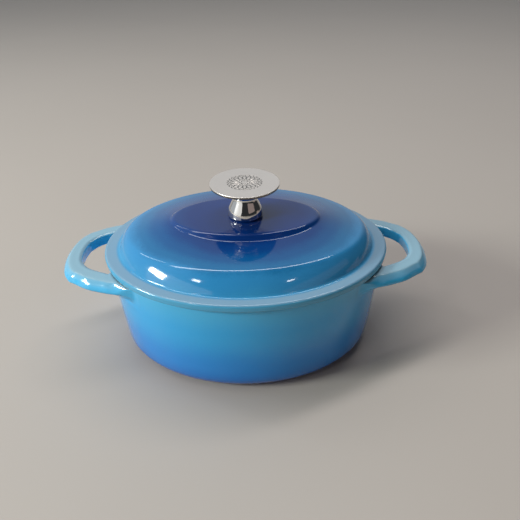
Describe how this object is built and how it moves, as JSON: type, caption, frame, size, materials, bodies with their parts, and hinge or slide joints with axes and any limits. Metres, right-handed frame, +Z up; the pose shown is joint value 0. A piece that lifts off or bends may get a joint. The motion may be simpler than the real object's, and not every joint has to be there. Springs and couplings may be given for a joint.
{
  "type": "oval enamelled casserole",
  "caption": "Small oval enamelled cast-iron casserole with two loop handles and a lift-off stepped lid with a flat steel disc knob, for slow cooking and serving.",
  "frame": {"origin": "on the table under the centre of the pot's flat base", "axes": "+Z up, +X along the oval towards the right-hand handle, -Y towards the front; the pot is symmetric about both upright planes"},
  "size_m": [0.2592, 0.155, 0.1217],
  "materials": {
    "pot_enamel": "glossy vitreous enamel, cyan blue at the rim and handles, deeper blue towards the base, cream inside",
    "lid_enamel": "glossy vitreous enamel, pale grey-blue at the flange, royal blue in the middle, cream inside",
    "polished_steel": "mirror-polished stainless steel",
    "brushed_steel": "fine brushed face with a polished rim",
    "gasket_rubber": "matt silicone",
    "fastener_steel": "bright zinc-like steel"
  },
  "bodies": {
    "pot": {"pot_body": "pot_enamel"},
    "lid_assembly": {"lid": "lid_enamel", "knob_stem": "polished_steel", "knob_disc": "brushed_steel", "stem_gasket": "gasket_rubber", "knob_screw": "fastener_steel", "flat_washer": "fastener_steel", "spring_washer": "fastener_steel"}
  },
  "joints": [
    {"name": "lid_lift", "type": "slide", "parent": "pot", "child": "lid_assembly", "axis": [0, 0, 1], "range_m": [0, 0.12]}
  ]
}
